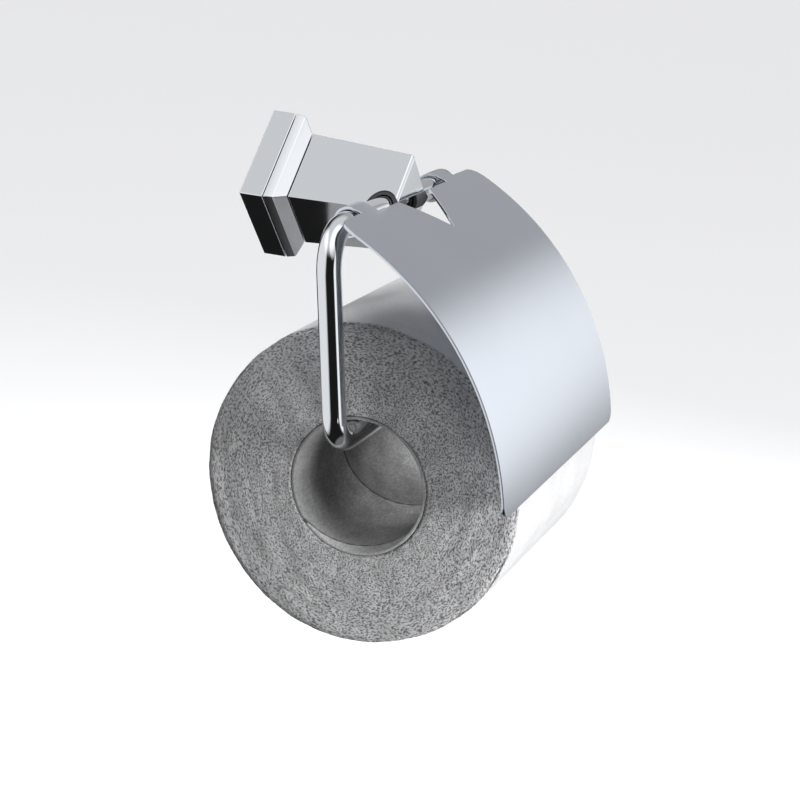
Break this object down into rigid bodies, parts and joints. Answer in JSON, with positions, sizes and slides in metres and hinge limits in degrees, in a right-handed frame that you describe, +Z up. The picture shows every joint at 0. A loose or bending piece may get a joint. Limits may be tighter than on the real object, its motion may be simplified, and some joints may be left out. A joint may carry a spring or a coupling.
{
  "type": "toilet paper holder",
  "caption": "Wall-mounted toilet paper holder: square flange and tapered post set corner up, a C-shaped round bar that swings and carries a paper roll, and a curved hinged cover.",
  "frame": {"origin": "centre of the flange's back face, on the wall", "axes": "+Y into the wall, -Y into the room, +Z up, X along the roll; the bar's arm is at -X"},
  "size_m": [0.1345, 0.1163, 0.1692],
  "materials": {
    "flange_chrome": "polished chrome plate",
    "post_chrome": "polished chrome plate",
    "bar_chrome": "polished chrome plate",
    "cover_chrome": "polished chrome plate on thin sheet",
    "bracket_steel": "plain zinc-plated",
    "screw_steel": "plain",
    "clip_steel": "plain spring steel",
    "bush_nylon": "moulded nylon",
    "core_cardboard": "spiral-wound cardboard",
    "roll_paper": "dimpled soft tissue, matt"
  },
  "bodies": {
    "mount": {"flange_rim": "flange_chrome", "wall_flange": "flange_chrome", "wall_bracket": "bracket_steel", "flange_set_screw": "screw_steel", "post_bolt": "screw_steel", "post_washer": "screw_steel", "post_body": "post_chrome", "bush_near": "bush_nylon", "bush_far": "bush_nylon", "axle_screw": "screw_steel"},
    "bar": {"hanger_bar": "bar_chrome", "bar_end_cap": "bar_chrome", "cover_clip": "clip_steel"},
    "cover": {"cover_sheet": "cover_chrome"},
    "roll": {"roll_core": "core_cardboard", "roll_paper": "roll_paper"}
  },
  "joints": [
    {"name": "bar_swing", "type": "hinge", "parent": "mount", "child": "bar", "pos_m": [0, -0.048, 0], "axis": [-1, 0, 0], "range_deg": [0, 45]},
    {"name": "cover_lift", "type": "hinge", "parent": "bar", "child": "cover", "pos_m": [0, -0.048, 0], "axis": [-1, 0, 0], "range_deg": [0, 85]},
    {"name": "roll_spin", "type": "hinge", "parent": "bar", "child": "roll", "pos_m": [0, -0.0592, -0.08788], "axis": [-1, 0, 0], "continuous": true}
  ]
}
